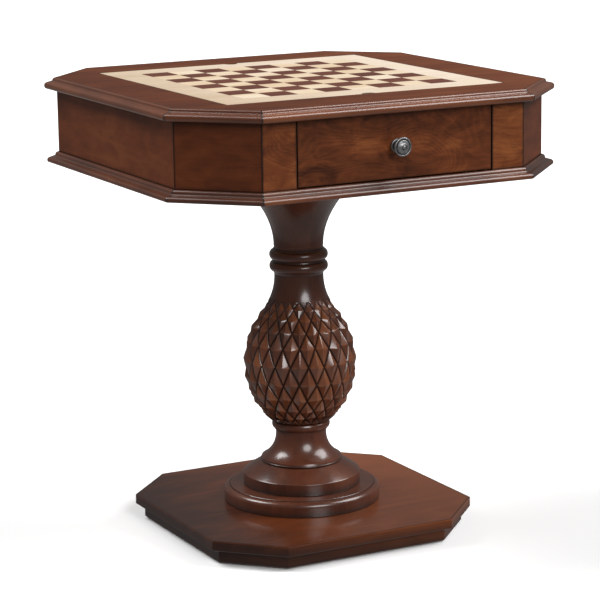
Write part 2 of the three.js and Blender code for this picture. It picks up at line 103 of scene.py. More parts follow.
def add_sun(name, azimuth, elevation, strength, angle):
    """A softbox far away: a disc of light that spans an angle in degrees."""
    data = bpy.data.lights.new(name, "SUN")
    data.energy = strength
    data.angle = math.radians(angle)
    light = bpy.data.objects.new(name, data)
    bpy.context.scene.collection.objects.link(light)
    back = direction(azimuth, elevation)
    light.location = back * SUN_DISTANCE
    light.rotation_mode = "QUATERNION"
    light.rotation_quaternion = (-back).to_track_quat("-Z", "Y")
    return light


def add_lights():
    """A dim white world, three softboxes and the light that comes back from the floor."""
    world = bpy.data.worlds.new("studio")
    world.use_nodes = True
    background = world.node_tree.nodes["Background"]
    background.inputs["Color"].default_value = (1, 1, 1, 1)
    background.inputs["Strength"].default_value = WORLD_STRENGTH
    bpy.context.scene.world = world
    bpy.context.scene.view_settings.view_transform = "Standard"
    add_sun("softbox_left", -126, 52, 2.6, 31)
    add_sun("softbox_right", 67, 46, 2.7, 37)
    add_sun("softbox_front", -1, 29, 1.7, 29)
    add_sun("floor_sheen", 0, -90, 0.5, 138)
    bounce = add_sun("floor_bounce", 0, -90, 0.8, 150)
    bounce.visible_glossy = False


def add_floor():
    """White paper that the camera sees; floor_sheen and floor_bounce stand in for its light."""
    bpy.ops.mesh.primitive_plane_add(size=FLOOR_SIZE)
    floor = bpy.context.object
    floor.name = "floor"
    material, tree, shader = new_material("floor_paper")
    speckle = new_node(tree, "ShaderNodeTexNoise", {"Scale": 40.0, "Detail": 3.0})
    paper = mix(tree, speckle.outputs["Fac"], (0.9, 0.9, 0.9, 1), (0.94, 0.94, 0.94, 1))
    tree.links.new(paper, shader.inputs["Base Color"])
    shader.inputs["Roughness"].default_value = 1.0
    shader.inputs["Specular IOR Level"].default_value = 0.0
    floor.data.materials.append(material)
    floor.visible_glossy = False
    floor.visible_diffuse = False
    floor.visible_shadow = False


# ---- shader helpers


def new_material(name):
    material = bpy.data.materials.new(name)
    material.use_nodes = True
    tree = material.node_tree
    return material, tree, tree.nodes["Principled BSDF"]


def new_node(tree, kind, inputs=None, **settings):
    node = tree.nodes.new(kind)
    for key, value in settings.items():
        setattr(node, key, value)
    for key, value in (inputs or {}).items():
        if isinstance(value, bpy.types.NodeSocket):
            tree.links.new(value, node.inputs[key])
        else:
            node.inputs[key].default_value = value
    return node


def calc(tree, operation, first, second, clamp=False):
    inputs = {0: first, 1: second}
    node = new_node(tree, "ShaderNodeMath", inputs, operation=operation, use_clamp=clamp)
    return node.outputs[0]


# The sockets of a mix node that mixes colours.
MIX_FACTOR, MIX_FIRST, MIX_SECOND, MIX_RESULT = 0, 6, 7, 2


def mix(tree, factor, first, second):
    inputs = {MIX_FACTOR: factor, MIX_FIRST: first, MIX_SECOND: second}
    return new_node(tree, "ShaderNodeMix", inputs, data_type="RGBA").outputs[MIX_RESULT]


def attribute(tree, name, output="Fac"):
    return new_node(tree, "ShaderNodeAttribute", attribute_name=name).outputs[output]


def stretched_noise(tree, vector, scale, detail=3.0, distortion=0.0, rough=0.5):
    stretch = new_node(tree, "ShaderNodeVectorMath", {0: vector, 1: scale}, operation="MULTIPLY")
    inputs = {
        "Vector": stretch.outputs[0],
        "Scale": 1.0,
        "Detail": detail,
        "Distortion": distortion,
        "Roughness": rough,
    }
    return new_node(tree, "ShaderNodeTexNoise", inputs).outputs["Fac"]


def ramp(tree, factor, stops):
    """A colour ramp; each stop is a place and a colour of three channels."""
    node = new_node(tree, "ShaderNodeValToRGB", {"Fac": factor})
    elements = node.color_ramp.elements
    while len(elements) < len(stops):
        elements.new(0.5)
    for element, (position, colour) in zip(elements, stops):
        element.position = position
        element.color = (*colour, 1)
    return node.outputs["Color"]


def smooth_step(tree, value, low, high):
    node = new_node(
        tree,
        "ShaderNodeMapRange",
        {"Value": value, "From Min": low, "From Max": high},
        interpolation_type="SMOOTHSTEP",
    )
    return node.outputs["Result"]


# ---- materials

# The colour of dark glaze at joints, and of painted shade in hollows, grooves and under the rails.
GLAZE_AND_SHADE = (0.006, 0.0035, 0.003, 1)
# Noise frequencies per metre, along and across the grain.
FIBRE_SCALE = (14, 420, 420)
STREAK_SCALE = (5, 75, 75)
CLOUD_SCALE = (4.5, 11, 11)
FLAME_SCALE = (16, 26, 26)
PORE_SCALE = (38, 900, 900)


def opaque(colour, factor):
    return (*[min(1, factor * channel) for channel in colour], 1)


def varied(tree, value, field, spread):
    """A value that a field from 0 to 1 raises by up to a spread."""
    return calc(tree, "ADD", value, calc(tree, "MULTIPLY", field, spread))


def add_bump(tree, shader, height, strength, distance):
    inputs = {"Strength": strength, "Distance": distance, "Height": height}
    bump = new_node(tree, "ShaderNodeBump", inputs)
    tree.links.new(bump.outputs["Normal"], shader.inputs["Normal"])


def year_rings(tree, grain, scale, bands):
    """Bands along the contours of a noise that is stretched with the grain."""
    field = stretched_noise(tree, grain, scale, 2.5, 0.6)
    contour = calc(tree, "PINGPONG", calc(tree, "MULTIPLY", field, bands), 0.5)
    return calc(tree, "POWER", calc(tree, "MULTIPLY", contour, 2.0), 1.6)


def stain_tone(tree, layers):
    """The sum of (field, weight) layers and the mesh's own tone, around 0.5. That tone holds painted
    light and shade on some pieces.
    """
    total = None
    for field, weight in layers:
        centred = calc(tree, "MULTIPLY", calc(tree, "SUBTRACT", field, 0.5), weight)
        total = centred if total is None else calc(tree, "ADD", total, centred)
    total = calc(tree, "ADD", total, attribute(tree, "tone"))
    return calc(tree, "ADD", total, 0.5, clamp=True)


def wood(name, dark, middle, light, bands, fibre, blotch, figure=0.1, mottle=0.0,
         figure_scale=(2.2, 9.0, 9.0), roughness=0.3, specular=0.15, coat=0.05,
         coat_roughness=0.12, glaze=0.9):
    """Stained wood. The grain attribute runs along X; dark glaze at joints and painted shade in
    hollows and crevices darken it, and a painted highlight, with some wear, lightens its edges.
    """
    material, tree, shader = new_material(name)
    grain = attribute(tree, "grain", "Vector")
    fibres = stretched_noise(tree, grain, FIBRE_SCALE, 4.0, 0.2, 0.65)
    clouds = stretched_noise(tree, grain, CLOUD_SCALE, 2.0, 0.8)
    pores = smooth_step(tree, stretched_noise(tree, grain, PORE_SCALE, 2.0), 0.62, 0.74)
    layers = [
        (year_rings(tree, grain, figure_scale, bands), figure),
        (fibres, 1.6 * fibre),
        (stretched_noise(tree, grain, STREAK_SCALE, 3.0, 0.4), 1.2 * fibre),
        (clouds, 2.2 * blotch),
    ]
    if mottle:
        layers.append((stretched_noise(tree, grain, FLAME_SCALE, 3.0, 1.6, 0.6), mottle))
    colour = ramp(tree, stain_tone(tree, layers), [(0.08, dark), (0.5, middle), (0.92, light)])
    colour = mix(tree, calc(tree, "MULTIPLY", pores, 0.45), colour, opaque(dark, 0.35))
    # Painted highlight, with some wear: sharp edges and ridges are lightened towards a paler wood.
    worn_and_lit = calc(tree, "MULTIPLY", attribute(tree, "wear"), calc(tree, "MULTIPLY", clouds, 0.5))
    colour = mix(tree, worn_and_lit, colour, opaque(light, 1.5))
    # Painted shade, with real glaze at the joints: the colour darkens towards the glaze colour where
    # the mesh asks.
    depth = calc(tree, "MULTIPLY", attribute(tree, "glaze"), glaze, clamp=True)
    tree.links.new(mix(tree, depth, colour, GLAZE_AND_SHADE), shader.inputs["Base Color"])
    rough = varied(tree, varied(tree, roughness - 0.06, fibres, 0.12), depth, 0.25)
    tree.links.new(rough, shader.inputs["Roughness"])
    height = calc(tree, "SUBTRACT", calc(tree, "MULTIPLY", fibres, 0.5), pores)
    add_bump(tree, shader, height, 0.12, 0.0003)
    shader.inputs["Coat Weight"].default_value = coat
    shader.inputs["Coat Roughness"].default_value = coat_roughness
    shader.inputs["Specular IOR Level"].default_value = specular
    return material


def metal(name, dark, light, roughness, metallic=1.0):
    """Metal with a patina that gathers in the grooves; it reads object coordinates."""
    material, tree, shader = new_material(name)
    place = new_node(tree, "ShaderNodeTexCoord").outputs["Object"]
    patina = stretched_noise(tree, place, (260, 260, 260), 4.0, 0.3)
    brushed = stretched_noise(tree, place, (90, 90, 1800), 3.0)
    tone = varied(tree, calc(tree, "MULTIPLY", patina, 0.7), brushed, 0.3)
    colour = ramp(tree, tone, [(0.25, dark), (0.65, light)])
    colour = mix(tree, attribute(tree, "glaze"), colour, opaque(dark, 0.12))
    tree.links.new(colour, shader.inputs["Base Color"])
    rough = varied(tree, roughness - 0.08, patina, 0.18)
    tree.links.new(rough, shader.inputs["Roughness"])
    add_bump(tree, shader, tone, 0.08, 0.0002)
    shader.inputs["Metallic"].default_value = metallic
    return material


def moulded_plastic(name, colour):
    material, tree, shader = new_material(name)
    place = new_node(tree, "ShaderNodeTexCoord").outputs["Object"]
    mottle = stretched_noise(tree, place, (900, 900, 900), 3.0)
    tint = mix(tree, mottle, opaque(colour, 0.8), opaque(colour, 1.3))
    tree.links.new(tint, shader.inputs["Base Color"])
    tree.links.new(varied(tree, 0.45, mottle, 0.15), shader.inputs["Roughness"])
    add_bump(tree, shader, mottle, 0.2, 0.0001)
    return material


LOOKS = {
    "top_veneer": wood(
        "top_veneer", (0.065, 0.0155, 0.005), (0.115, 0.03, 0.0095), (0.17, 0.052, 0.018),
        figure=0.15, bands=9, fibre=0.45, blotch=0.3, roughness=0.4,
    ),
    "cherry": wood(
        "cherry", (0.055, 0.015, 0.006), (0.13, 0.033, 0.011), (0.22, 0.064, 0.021),
        figure=0.08, bands=8, fibre=0.2, blotch=0.4, mottle=0.5, coat=0.12, roughness=0.4,
    ),
    "moulding": wood(
        "moulding", (0.04, 0.01, 0.004), (0.115, 0.03, 0.009), (0.2, 0.06, 0.018),
        bands=6, fibre=0.2, blotch=0.5, specular=0.25, coat=1.0, roughness=0.36, coat_roughness=0.27,
    ),
    "figured_veneer": wood(
        "figured_veneer", (0.04, 0.0105, 0.004), (0.13, 0.034, 0.0105), (0.27, 0.084, 0.024),
        figure=0.12, figure_scale=(3.4, 8.0, 8.0), bands=40, fibre=0.15, blotch=0.4, mottle=0.9,
        specular=0.2, coat=0.15, roughness=0.38,
    ),
    "turned_wood": wood(
        "turned_wood", (0.035, 0.01, 0.0055), (0.08, 0.0225, 0.0105), (0.135, 0.041, 0.019),
        bands=5, fibre=0.25, blotch=0.4, specular=0.2, coat=0.9, roughness=0.35, coat_roughness=0.2,
    ),
    "carved_wood": wood(
        "carved_wood", (0.05, 0.014, 0.006), (0.125, 0.036, 0.014), (0.22, 0.07, 0.024),
        bands=5, fibre=0.25, blotch=0.5, specular=0.35, coat=0.8, roughness=0.35, coat_roughness=0.13,
    ),
    "base_wood": wood(
        "base_wood", (0.03, 0.007, 0.0025), (0.1, 0.024, 0.006), (0.18, 0.048, 0.013),
        bands=9, fibre=0.22, blotch=0.3, coat=0.85, roughness=0.35, coat_roughness=0.17,
    ),
    "maple": wood(
        "maple", (0.55, 0.42, 0.285), (0.69, 0.56, 0.43), (0.79, 0.67, 0.54),
        bands=6, fibre=0.25, blotch=0.25, glaze=0.75,
    ),
    "light_square": wood(
        "light_square", (0.6, 0.43, 0.26), (0.72, 0.57, 0.4), (0.81, 0.7, 0.56),
        bands=4, fibre=0.25, blotch=0.6, glaze=0.75,
    ),
    "dark_square": wood(
        "dark_square", (0.08, 0.02, 0.0105), (0.12, 0.033, 0.018), (0.165, 0.05, 0.028),
        bands=4, fibre=0.45, blotch=0.4,
    ),
    "inner_wood": wood(
        "inner_wood", (0.3, 0.19, 0.1), (0.42, 0.28, 0.16), (0.54, 0.38, 0.23),
        figure=0.3, bands=8, fibre=0.4, blotch=0.3, specular=0.3, coat=0.03, roughness=0.6,
    ),
    "pewter": metal("pewter", (0.07, 0.07, 0.075), (0.3, 0.295, 0.3), 0.36, 0.75),
    "steel": metal("steel", (0.4, 0.4, 0.4), (0.66, 0.66, 0.67), 0.35),
    "plastic": moulded_plastic("plastic", (0.03, 0.024, 0.022)),
}


# ---- mesh helpers


def arc(centre, radii, start, end, steps):
    """Points along an elliptical arc, angles in degrees."""
    angles = np.radians(np.linspace(start, end, steps + 1))
    return [
        (centre[0] + radii[0] * math.cos(a), centre[1] + radii[1] * math.sin(a)) for a in angles
    ]


def bowed(start, end, swell, steps):
    """Points from start to end that swell outward by a height at the middle."""
    start, end = np.array(start, float), np.array(end, float)
    along = end - start
    outward = np.array([along[1], -along[0]]) / np.linalg.norm(along)
    shares = np.linspace(0, 1, steps + 1)
    return [tuple(start + along * t + outward * 4 * swell * t * (1 - t)) for t in shares]


# Distances from an end where a length is split, in mm.
FINE_PLACES = (0.0, 0.4, 1.0, 1.8, 3.0, 5.0, 8.0, 14.0)
SHORT_SIDE = 2.5
# Turns in degrees: hollow corners get painted shade, sharp edges a painted highlight with some wear,
# and both reach full strength.
HOLLOW_TURN, SHARP_TURN, FULL_TURN = -18, 25, 60
WEAR_AND_HIGHLIGHT_WIDTH = 0.9
# How dark the painted shade is at a source: under a rail, over a rail, and where one part stands on
# another.
SOURCE_SHADE = 0.85


def graded(length, coarse):
    """Places along a length, in mm, that crowd towards both ends."""
    ends = [d for d in FINE_PLACES if d < length / 2]
    steps = max(2, math.ceil(length / coarse))
    middle = np.linspace(ends[-1], length - ends[-1], steps + 1)[1:-1]
    return [*ends, *middle, *[length - d for d in reversed(ends)]]


def densified(section, coarse):
    """The closed section with each straight side split, finely near its corners."""
    points = [np.array(p, float) for p in section]
    result = []
    for start, end in zip(points, points[1:] + points[:1]):
        length = np.linalg.norm(end - start)
        places = [0.0] if length < SHORT_SIDE else graded(length, coarse)[:-1]
        result += [start + (end - start) * (d / length) for d in places]
    return np.array(result)


def near(samples, point, reach):
    """1 at a point of the section, and falling with the distance from it, at each sample."""
    distance = np.linalg.norm(samples - point, axis=1)
    return np.exp(-((distance / reach) ** 2))


def corner_shading(section, samples, width):
    """Painted shade in the section's hollow corners and a painted highlight, with some wear, on its
    sharp edges, at each sample.
    """
    points = np.array(section, float)
    glaze, wear = np.zeros(len(samples)), np.zeros(len(samples))
    for i, point in enumerate(points):
        before = point - points[i - 1]
        after = points[(i + 1) % len(points)] - point
        turn = math.degrees(
            math.atan2(before[0] * after[1] - before[1] * after[0], before @ after)
        )
        strength = min(1, abs(turn) / FULL_TURN)
        if turn < HOLLOW_TURN:
            glaze = np.maximum(glaze, strength * near(samples, point, width))
        elif turn > SHARP_TURN:
            wear = np.maximum(wear, strength * near(samples, point, WEAR_AND_HIGHLIGHT_WIDTH))
    return glaze, wear


def gathered(glaze, samples, sources):
    """The glaze with painted shade added around each source, a place in the section and its reach."""
    for across, up, reach in sources:
        place = np.array([across, up])
        glaze = np.maximum(glaze, SOURCE_SHADE * near(samples, place, reach))
    return glaze


def face_outward(mesh, merge=0.0):
    """Turn the mesh's faces outward, after vertices closer than merge are joined."""
    solid = bmesh.new()
    solid.from_mesh(mesh)
    if merge:
        bmesh.ops.remove_doubles(solid, verts=solid.verts, dist=merge)
    bmesh.ops.recalc_face_normals(solid, faces=solid.faces)
    solid.to_mesh(mesh)
    solid.free()


def make_piece(name, vertices, faces, look, body, replaced, grain, glaze=None, wear=None,
               slot=None, sharp=35, tone=0.0, merge=0.0):
    """A mesh piece in metres, with its grain, its glaze and painted shade, and its painted highlight
    and wear, that rides on a body.
    """
    mesh = bpy.data.meshes.new(name)
    mesh.from_pydata([tuple(v) for v in vertices], [], [tuple(f) for f in faces])
    face_outward(mesh)
    mesh.validate()
    count = len(mesh.vertices)
    random.seed(name)
    drift = np.array([random.uniform(0, 9) for _ in range(3)])
    values = np.asarray(grain, float) + drift
    vectors = mesh.attributes.new("grain", "FLOAT_VECTOR", "POINT")
    vectors.data.foreach_set("vector", values.ravel())
    for key, data in (("glaze", glaze), ("wear", wear), ("tone", tone)):
        data = np.zeros(count) if data is None else np.asarray(data, float) + np.zeros(count)
        mesh.attributes.new(key, "FLOAT", "POINT").data.foreach_set("value", data)
    if merge:
        face_outward(mesh, merge)
    mesh.shade_smooth()
    mesh.set_sharp_from_angle(angle=math.radians(sharp))
    mesh.materials.append(LOOKS[look])
    piece = bpy.data.objects.new(name, mesh)
    bpy.context.scene.collection.objects.link(piece)
    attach(piece, body)
    if replaced:
        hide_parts(*replaced)
    slot or look


def band(lower, upper):
    """Quads between two closed loops of vertices."""
    return [(lower[i - 1], lower[i], upper[i], upper[i - 1]) for i in range(len(lower))]


def loops_of(first, around, count):
    """Loops of consecutive vertices, from a first one, with `around` vertices in each."""
    return [range(first + k * around, first + (k + 1) * around) for k in range(count)]


def capped_tower(first, around, levels):
    """Faces of a tower of vertex loops with both ends closed; first is its first vertex."""
    loops = loops_of(first, around, levels)
    faces = [tuple(loops[-1]), tuple(reversed(loops[0]))]
    for lower, upper in zip(loops, loops[1:]):
        faces += band(lower, upper)
    return faces


# ---- turned pieces

TURNED_STEP = 6.0
ROD_BORE = 6


def turned(node, profile, look="turned_wood", bore=ROD_BORE, centre=(0, 0, 0), sides=96,
           body="table", axis="z", width=1.5, sources=(), suffix="_turned"):
    """A solid turned about an axis. The profile lists (radius, height) in mm, going up outside.

    sources are (radius, height, reach) rings where painted shade gathers.
    """
    section = [(bore, profile[0][1]), *profile, (bore, profile[-1][1])]
    samples = densified(section, TURNED_STEP)
    glaze, wear = corner_shading(section, samples, width)
    glaze = gathered(glaze, samples, sources)
    angles = np.linspace(0, 2 * math.pi, sides, endpoint=False)
    radius, height = samples[:, :1] * MM, samples[:, 1:] * MM
    across, along = radius * np.cos(angles), radius * np.sin(angles)
    rise = height + 0 * angles
    upright = axis == "z"
    layout = (across, along, rise) if upright else (across, -rise, along)
    vertices = np.stack(layout, -1).reshape(-1, 3)
    grain = vertices[:, [2, 0, 1]] if upright else vertices
    loops = loops_of(0, sides, len(samples))
    faces = [face for k, loop in enumerate(loops) for face in band(loops[k - 1], loop)]
    make_piece(
        node + suffix, vertices + np.array(centre), faces, look, body, [node],
        grain, np.repeat(glaze, sides), np.repeat(wear, sides),
    )


# ---- pieces that follow the octagon


def octagon_corners(half, leg):
    near = half - leg
    return np.array(
        [
            (-near, -half), (near, -half), (half, -near), (half, near),
            (near, half), (-near, half), (-half, near), (-half, -near),
        ]
    )


apron_low, apron_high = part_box("apron_left")
GAP = 0.3
APRON_HALF = -apron_low.x / MM
APRON_LEG = APRON_HALF - apron_high.y / MM - GAP / 2
SIDES = ["front", "front_right", "right", "back_right", "back", "back_left", "left", "front_left"]


def leg_at(half):
    return APRON_LEG + (2 - math.sqrt(2)) * (half - APRON_HALF)


BAR_SECTION_STEP, BAR_STEP = 12.0, 30.0
SEAM_GLAZE, SEAM_REACH = 0.95, 1.6
END_EASE = 0.35


def bar_ends(samples, side, cut):
    """Where a bar's long lines start and end, in mm, half a gap short of its mitres."""
    starts, ends = [], []
    for offset, z in samples:
        half = APRON_HALF + offset
        corners = octagon_corners(half, leg_at(half))
        start, end = corners[side], corners[(side + 1) % len(corners)]
        along = (end - start) / np.linalg.norm(end - start)
        start, end = start + along * GAP / 2, end - along * GAP / 2
        if cut[0] is not None:
            start = np.array([cut[0], start[1]])
        if cut[1] is not None:
            end = np.array([cut[1], end[1]])
        starts.append((*start, z))
        ends.append((*end, z))
    return np.array(starts), np.array(ends)


def eased_end(ring):
    """A bar's end ring drawn in a little, all round."""
    inward = ring.mean(0) - ring
    return ring + inward / np.linalg.norm(inward, axis=1, keepdims=True) * END_EASE


def mitred_bar(name, side, section, look, replaced, sources, width, cut=(None, None), slot=None,
               tone=0.0):
    """A bar along one side of the octagon; its section lists (offset, z) in mm, anticlockwise.

    sources are (offset, z, reach) points where painted shade gathers along the bar. cut gives an X
    where an end is cut square in place of its mitre.
    """
    samples = densified(section, BAR_SECTION_STEP)
    glaze, wear = corner_shading(section, samples, width)
    glaze = gathered(glaze, samples, sources)
    starts, ends = bar_ends(samples, side, cut)
    length = np.linalg.norm(ends - starts, axis=1).min()
    rings, ring_glaze, ring_wear = [], [], []
    for place in graded(length, BAR_STEP):
        ring = starts + (ends - starts) * (place / length)
        from_end = min(place, length - place)
        seam = math.exp(-((from_end / SEAM_REACH) ** 2))
        rings.append(ring if from_end > 0 else eased_end(ring))
        ring_glaze.append(np.maximum(glaze, SEAM_GLAZE * seam))
        ring_wear.append(wear * (1 - seam))
    vertices = np.concatenate(rings) * MM
    faces = capped_tower(0, len(samples), len(rings))
    lengthwise = (ends - starts)[0]
    lengthwise = lengthwise / np.linalg.norm(lengthwise)
    outward = np.array([lengthwise[1], -lengthwise[0], 0])
    grain = np.stack([vertices @ lengthwise, vertices[:, 2], vertices @ outward], -1)
    make_piece(
        name, vertices, faces, look, "table", replaced, grain,
        np.concatenate(ring_glaze), np.concatenate(ring_wear), slot, tone=tone,
    )


# ---- flat panels


def offset_ring(points, distance):
    """A closed ring of plan points moved inward by a distance; the ring runs anticlockwise.

    Points are kept inside the inset box, so that the ring doesn't fold over beside a notch.
    """
    points = np.array(points, float)
    before = points - np.roll(points, 1, 0)
    after = np.roll(points, -1, 0) - points
    before /= np.linalg.norm(before, axis=1, keepdims=True)
    after /= np.linalg.norm(after, axis=1, keepdims=True)
    left_before = np.stack([-before[:, 1], before[:, 0]], -1)
    left_after = np.stack([-after[:, 1], after[:, 0]], -1)
    bisector = left_before + left_after
    scale = 2 / (bisector**2).sum(1, keepdims=True)
    low, high = points.min(0) + distance, points.max(0) - distance
    return np.clip(points + bisector * scale * distance, low, high)


RING_STEP = 30.0
RIM_STEPS = (0.0, 0.25, 0.8, 1.6, 2.6, 4.0, 7.0)
HOLE_SIDE_GLAZE = 0.6


def split_ring(points):
    """A ring with its long sides split, so that its shading can change along them."""
    result = []
    points = np.array(points, float)
    for start, end in zip(points, np.roll(points, -1, 0)):
        pieces = max(1, math.ceil(np.linalg.norm(end - start) / RING_STEP))
        result += [start + (end - start) * k / pieces for k in range(pieces)]
    return result


def edge_loops(bottom, top, ease, rim_glaze, rim_reach, side_glaze, fade_depth):
    """(inset, z, glaze and painted shade, painted highlight and wear) of the loops from the top face
    over the edge to the bottom face.
    """
    loops = []
    for step in reversed(RIM_STEPS):
        fade = math.exp(-((step / rim_reach) ** 2))
        loops.append((ease + step, top, rim_glaze * fade, 1.0 if step == 0 else 0.0))
    loops.append((0.3 * ease, top - 0.3 * ease, rim_glaze, 1.0))
    for depth in (ease, 2.5 * ease, 0.5 * (top - bottom)):
        shade = side_glaze * min(1.0, depth / fade_depth)
        loops.append((0, top - depth, shade, 1.0 if depth == ease else 0))
    loops.append((0, bottom + ease, side_glaze, 0.6))
    loops.append((ease, bottom, side_glaze, 0.3))
    return loops


def panel(name, outline, bottom, top, look, body, replaced, hole=None, ease=0.8, plane="xy",
          along="x", rim_glaze=0.0, side_glaze=0.0, hole_glaze=0.0, rim_reach=1.2, slot=None,
          tone_and_light=(0.0, 0.0), side_fade=None):
    """A flat panel with eased edges. The outline and hole are anticlockwise rings in mm.

    Each boundary is a sweep of an eased edge with rim loops on both faces, and the faces between
    are filled. plane "xz" stands the panel up: its outline is then (x, z) and its depth is -y.
    Its sides darken, by the side darkening given, over a depth of side_fade, by default all of it.
    """
    vertices, glaze, wear, faces = [], [], [], []
    fade_depth = side_fade or top - bottom

    def add_ring(ring, z, shade, worn_and_lit):
        first = len(vertices)
        vertices.extend((x, y, z) for x, y in ring)
        glaze.extend([shade] * len(ring))
        wear.extend([worn_and_lit] * len(ring))
        return list(range(first, len(vertices)))

    def add_edge(boundary, inward, rim, side):
        ring = split_ring(boundary)
        rings = [
            add_ring(offset_ring(ring, inward * inset), z, shade, worn_and_lit)
            for inset, z, shade, worn_and_lit in edge_loops(
                bottom, top, ease, rim, rim_reach, side, fade_depth
            )
        ]
        for upper, lower in zip(rings, rings[1:]):
            faces.extend(band(upper, lower))
        return rings[0], rings[-1]

    outer_top, outer_bottom = add_edge(outline, 1, rim_glaze, side_glaze)
    if hole is None:
        faces.append(tuple(outer_top))
        faces.append(tuple(reversed(outer_bottom)))
    else:
        inner_top, inner_bottom = add_edge(hole, -1, hole_glaze, HOLE_SIDE_GLAZE)
        for outer_ring, inner_ring in ((outer_top, inner_top), (outer_bottom, inner_bottom)):
            indices = outer_ring + inner_ring
            loops = [[Vector(vertices[i]) for i in ring] for ring in (outer_ring, inner_ring)]
            for triangle in tessellate_polygon(loops):
                faces.append(tuple(indices[k] for k in triangle))
    points = np.array(vertices) * MM
    across = points[:, 0] - points[:, 0].min()
    # A tone ramp across X; where it is given it is partly the wood's own tone and partly painted
    # light and shade.
    tone = tone_and_light[0] + (tone_and_light[1] - tone_and_light[0]) * across / across.max()
    order = {"x": [0, 1, 2], "y": [1, 0, 2]}[along]
    if plane == "xz":
        points = np.stack([points[:, 0], -points[:, 2], points[:, 1]], -1)
        order = [0, 2, 1]
    make_piece(
        name, points, faces, look, body, replaced, points[:, order], glaze, wear, slot, tone=tone
    )


def rectangle(low_x, low_y, high_x, high_y):
    return [(low_x, low_y), (high_x, low_y), (high_x, high_y), (low_x, high_y)]


def square(half):
    return rectangle(-half, -half, half, half)


def plan_of(node):
    """A CAD node's box in mm: the plan corners and the heights."""
    low, high = in_mm(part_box(node))
    return rectangle(low.x, low.y, high.x, high.y), low.z, high.z


def block(node, look, body, **shading):
    """A panel with eased edges in place of a CAD node that is a plain box."""
    outline, bottom, top = plan_of(node)
    panel(node + "_eased", outline, bottom, top, look, body, [node], **shading)


# ---- the table's parts


def moulded_face(width, height, under_share, bead_share):
    """Nose, cove and bead, from the underside to the top, outward from the planted face.

    The nose's underside and the bead are rounded to a share of the height.
    """
    bead = bead_share * height
    under = under_share * height
    nose_middle = under + 0.09 * height
    nose_top = under + 0.37 * height
    depth = 0.44 * width
    return [
        *arc((width - under, under), (under, under), -90, 0, 8),
        *arc((width - depth, nose_middle), (depth, nose_top - nose_middle), 4, 90, 12),
        *arc(
            (width - depth, height - bead),
            (width - depth - 1 - bead, height - bead - nose_top),
            262, 182, 10,
        ),
        *arc((1, height - bead), (bead, bead), 8, 90, 8),
    ]


RAIL_CORNER_WIDTH = 0.8
APRON_CORNER_WIDTH = 1.5
BOARD_EASE = 0.5
# How far each layer's octagon is cut back at its corners, in mm.
BASE_LEGS = {"base_plate": 93.2, "plinth": 84.9}


def build_mouldings():
    top_low, top_high = in_mm(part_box("top_molding_left"))
    low, high = in_mm(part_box("bottom_molding_left"))
    frame_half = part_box("top_frame")[1].x / MM
    face = frame_half + GAP - APRON_HALF
    profile = moulded_face(-top_low.x - frame_half - GAP, top_high.z - top_low.z, 0.28, 0.18)
    nose = [(face + u, top_low.z + z) for u, z in profile]
    upper = [(face, top_low.z), *nose, (face, top_high.z)]
    profile = moulded_face(-low.x - APRON_HALF, high.z - low.z, 0.17, 0.28)
    nose = [(u, low.z + z) for u, z in profile]
    under = -high.x - APRON_HALF
    lower = [(under, low.z), *nose, (under, high.z)]
    # Dark glaze at the joints, and painted shade on the rails' undersides. The bottom rails at the
    # corners are painted darker, as shade, and the straight top rails lighter, as a painted
    # highlight.
    for side, name in enumerate(SIDES):
        at_corner = "_" in name
        mitred_bar(
            "top_rail_" + name, side, upper, "moulding", ["top_molding_" + name],
            [(face, top_high.z, 0.8), (0, top_low.z, 5)], RAIL_CORNER_WIDTH, slot="cherry",
            tone=0.0 if at_corner else 0.1,
        )
        mitred_bar(
            "bottom_rail_" + name, side, lower, "moulding", ["bottom_molding_" + name],
            [(0, high.z, 1.6), (0, low.z, 12)], RAIL_CORNER_WIDTH, slot="cherry",
            tone=-0.3 if at_corner else 0,
        )


def build_apron():
    """The boards between the rails, and the two stiles beside the drawer."""
    low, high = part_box("apron_left")
    bottom, top = low.z / MM, high.z / MM
    thickness = (high.x - low.x) / MM
    section = [
        (-thickness, bottom),
        *arc((-BOARD_EASE, bottom + BOARD_EASE), (BOARD_EASE, BOARD_EASE), -90, 0, 2),
        *arc((-BOARD_EASE, top - BOARD_EASE), (BOARD_EASE, BOARD_EASE), 0, 90, 2),
        (-thickness, top),
    ]
    # Painted shade at the top, under the top rail, and at the bottom, over the bottom rail.
    sources = [(0, top, 4.5), (0, bottom, 2.2)]
    for side, name in enumerate(SIDES):
        if name == "front":
            continue
        # The corner boards are painted darker, as shade, and the stiles are given their own tones.
        node = ("corner_board_" if "_" in name else "apron_") + name
        mitred_bar(
            node + "_veneered", side, section, "cherry", [node], sources, APRON_CORNER_WIDTH,
            tone=-0.16 if "_" in name else 0.03,
        )
    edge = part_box("front_stile_right")[0].x / MM
    front = SIDES.index("front")
    for name, cut, tone in (("left", (None, -edge), 0.08), ("right", (edge, None), 0.22)):
        node = "front_stile_" + name
        mitred_bar(
            node + "_veneered", front, section, "figured_veneer", [node], sources,
            APRON_CORNER_WIDTH, cut, tone=tone,
        )


def build_base():
    for node, ease, side_glaze, rim in (("base_plate", 1.0, 0.8, 0.8), ("plinth", 0.8, 0.9, 0.5)):
        low, high = in_mm(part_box(node))
        # Painted light: the base is darker to the left, as shade, and lighter to the right, as a
        # painted sheen, over the wood's own tone.
        panel(
            node + "_veneered", octagon_corners(high.x, BASE_LEGS[node]), low.z, high.z,
            "base_wood", "table", [node], ease=ease, rim_glaze=rim, side_glaze=side_glaze,
            rim_reach=1.8, tone_and_light=(-0.4, 0.5),
        )


# ---- the column, in mm: radii and heights above the floor

ROUND_SIDES = 144
WAIST = 43.5
NECK_RADIUS = 42.0
NECK_FLARE_TOP = 441
NECK_RINGS = (452.6, 472.4)
CAPITAL_RIM = 606


